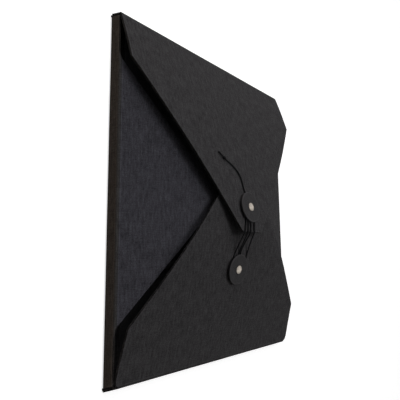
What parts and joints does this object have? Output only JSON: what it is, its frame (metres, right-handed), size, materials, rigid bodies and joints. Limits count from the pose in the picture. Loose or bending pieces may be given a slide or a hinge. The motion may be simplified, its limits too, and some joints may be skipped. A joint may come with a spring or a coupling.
{
  "type": "button and string portfolio",
  "caption": "Flat cloth-covered document case: four shallow walls and four folding flaps, closed by a cord wound round two discs.",
  "frame": {"origin": "middle of the back panel's outer face, at the centre of the outline", "axes": "+Y along the height to the top edge, +X along the width to the right edge, +Z out of the front"},
  "size_m": [0.218, 0.267, 0.0508],
  "materials": {
    "cover_cloth": "matt linen book cloth over board",
    "hinge_cloth": "matt linen book cloth",
    "lining": "smooth matt lining sheet",
    "button": "pressed fibre, satin",
    "rivet": "satin nickel",
    "cord": "waxed braided thread"
  },
  "bodies": {
    "base": {"back_panel": "cover_cloth", "back_lining": "lining", "top_back_hinge": "hinge_cloth", "bottom_back_hinge": "hinge_cloth", "left_back_hinge": "hinge_cloth", "right_back_hinge": "hinge_cloth"},
    "top_wall": {"top_wall": "cover_cloth", "top_flap_hinge": "hinge_cloth"},
    "bottom_wall": {"bottom_wall": "cover_cloth", "bottom_flap_hinge": "hinge_cloth"},
    "left_wall": {"left_wall": "cover_cloth", "left_flap_hinge": "hinge_cloth"},
    "right_wall": {"right_wall": "cover_cloth", "right_flap_hinge": "hinge_cloth"},
    "top_flap": {"top_flap": "cover_cloth", "top_flap_lining": "lining", "top_rivet": "rivet", "top_washer": "rivet", "cord_winding": "cord", "cord_tail": "cord", "cord_knot": "cord", "cord_end": "cord"},
    "bottom_flap": {"bottom_flap": "cover_cloth", "bottom_flap_lining": "lining", "bottom_rivet": "rivet", "bottom_washer": "rivet"},
    "left_flap": {"left_flap": "cover_cloth", "left_flap_lining": "lining"},
    "right_flap": {"right_flap": "cover_cloth", "right_flap_lining": "lining"},
    "top_button": {"top_button": "button"},
    "bottom_button": {"bottom_button": "button"}
  },
  "joints": [
    {"name": "top_wall_fold", "type": "hinge", "parent": "base", "child": "top_wall", "pos_m": [0, 0.13309, 0.00069], "axis": [-1, 0, 0], "range_deg": [0, 90], "deforming": ["top_back_hinge", "cord_winding", "cord_tail", "cord_knot", "cord_end"]},
    {"name": "bottom_wall_fold", "type": "hinge", "parent": "base", "child": "bottom_wall", "pos_m": [0, -0.13311, 0.0007], "axis": [1, 0, 0], "range_deg": [0, 90], "deforming": ["bottom_back_hinge"]},
    {"name": "left_wall_fold", "type": "hinge", "parent": "base", "child": "left_wall", "pos_m": [-0.10842, 0, 0.00058], "axis": [0, -1, 0], "range_deg": [0, 90], "deforming": ["left_back_hinge"]},
    {"name": "right_wall_fold", "type": "hinge", "parent": "base", "child": "right_wall", "pos_m": [0.10842, 0, 0.00058], "axis": [0, 1, 0], "range_deg": [0, 90], "deforming": ["right_back_hinge"]},
    {"name": "top_flap_fold", "type": "hinge", "parent": "top_wall", "child": "top_flap", "pos_m": [0, 0.13049, 0.0115], "axis": [-1, 0, 0], "range_deg": [0, 69], "deforming": ["top_flap_hinge", "cord_winding", "cord_tail", "cord_knot", "cord_end"]},
    {"name": "bottom_flap_fold", "type": "hinge", "parent": "bottom_wall", "child": "bottom_flap", "pos_m": [0, -0.13013, 0.01146], "axis": [1, 0, 0], "range_deg": [0, 69], "deforming": ["bottom_flap_hinge"]},
    {"name": "left_flap_fold", "type": "hinge", "parent": "left_wall", "child": "left_flap", "pos_m": [-0.10851, 0, 0.01143], "axis": [0, -1, 0], "range_deg": [0, 74.17], "deforming": ["left_flap_hinge"]},
    {"name": "right_flap_fold", "type": "hinge", "parent": "right_wall", "child": "right_flap", "pos_m": [0.10851, 0, 0.01143], "axis": [0, 1, 0], "range_deg": [0, 74.17], "deforming": ["right_flap_hinge"]},
    {"name": "top_button_spin", "type": "hinge", "parent": "top_flap", "child": "top_button", "pos_m": [-0.0024, -0.00694, 0.04587], "axis": [0, 0.1429, 0.9897], "continuous": true},
    {"name": "bottom_button_spin", "type": "hinge", "parent": "bottom_flap", "child": "bottom_button", "pos_m": [-0.0024, -0.05601, 0.03221], "axis": [0, -0.2285, 0.9735], "continuous": true}
  ],
  "couplings": [
    {"joint": "bottom_wall_fold", "follows": "top_wall_fold", "ratio": 1},
    {"joint": "left_wall_fold", "follows": "top_wall_fold", "ratio": 1},
    {"joint": "right_wall_fold", "follows": "top_wall_fold", "ratio": 1},
    {"joint": "bottom_flap_fold", "follows": "top_flap_fold", "ratio": 1},
    {"joint": "left_flap_fold", "follows": "top_flap_fold", "ratio": 1.075},
    {"joint": "right_flap_fold", "follows": "top_flap_fold", "ratio": 1.075}
  ]
}
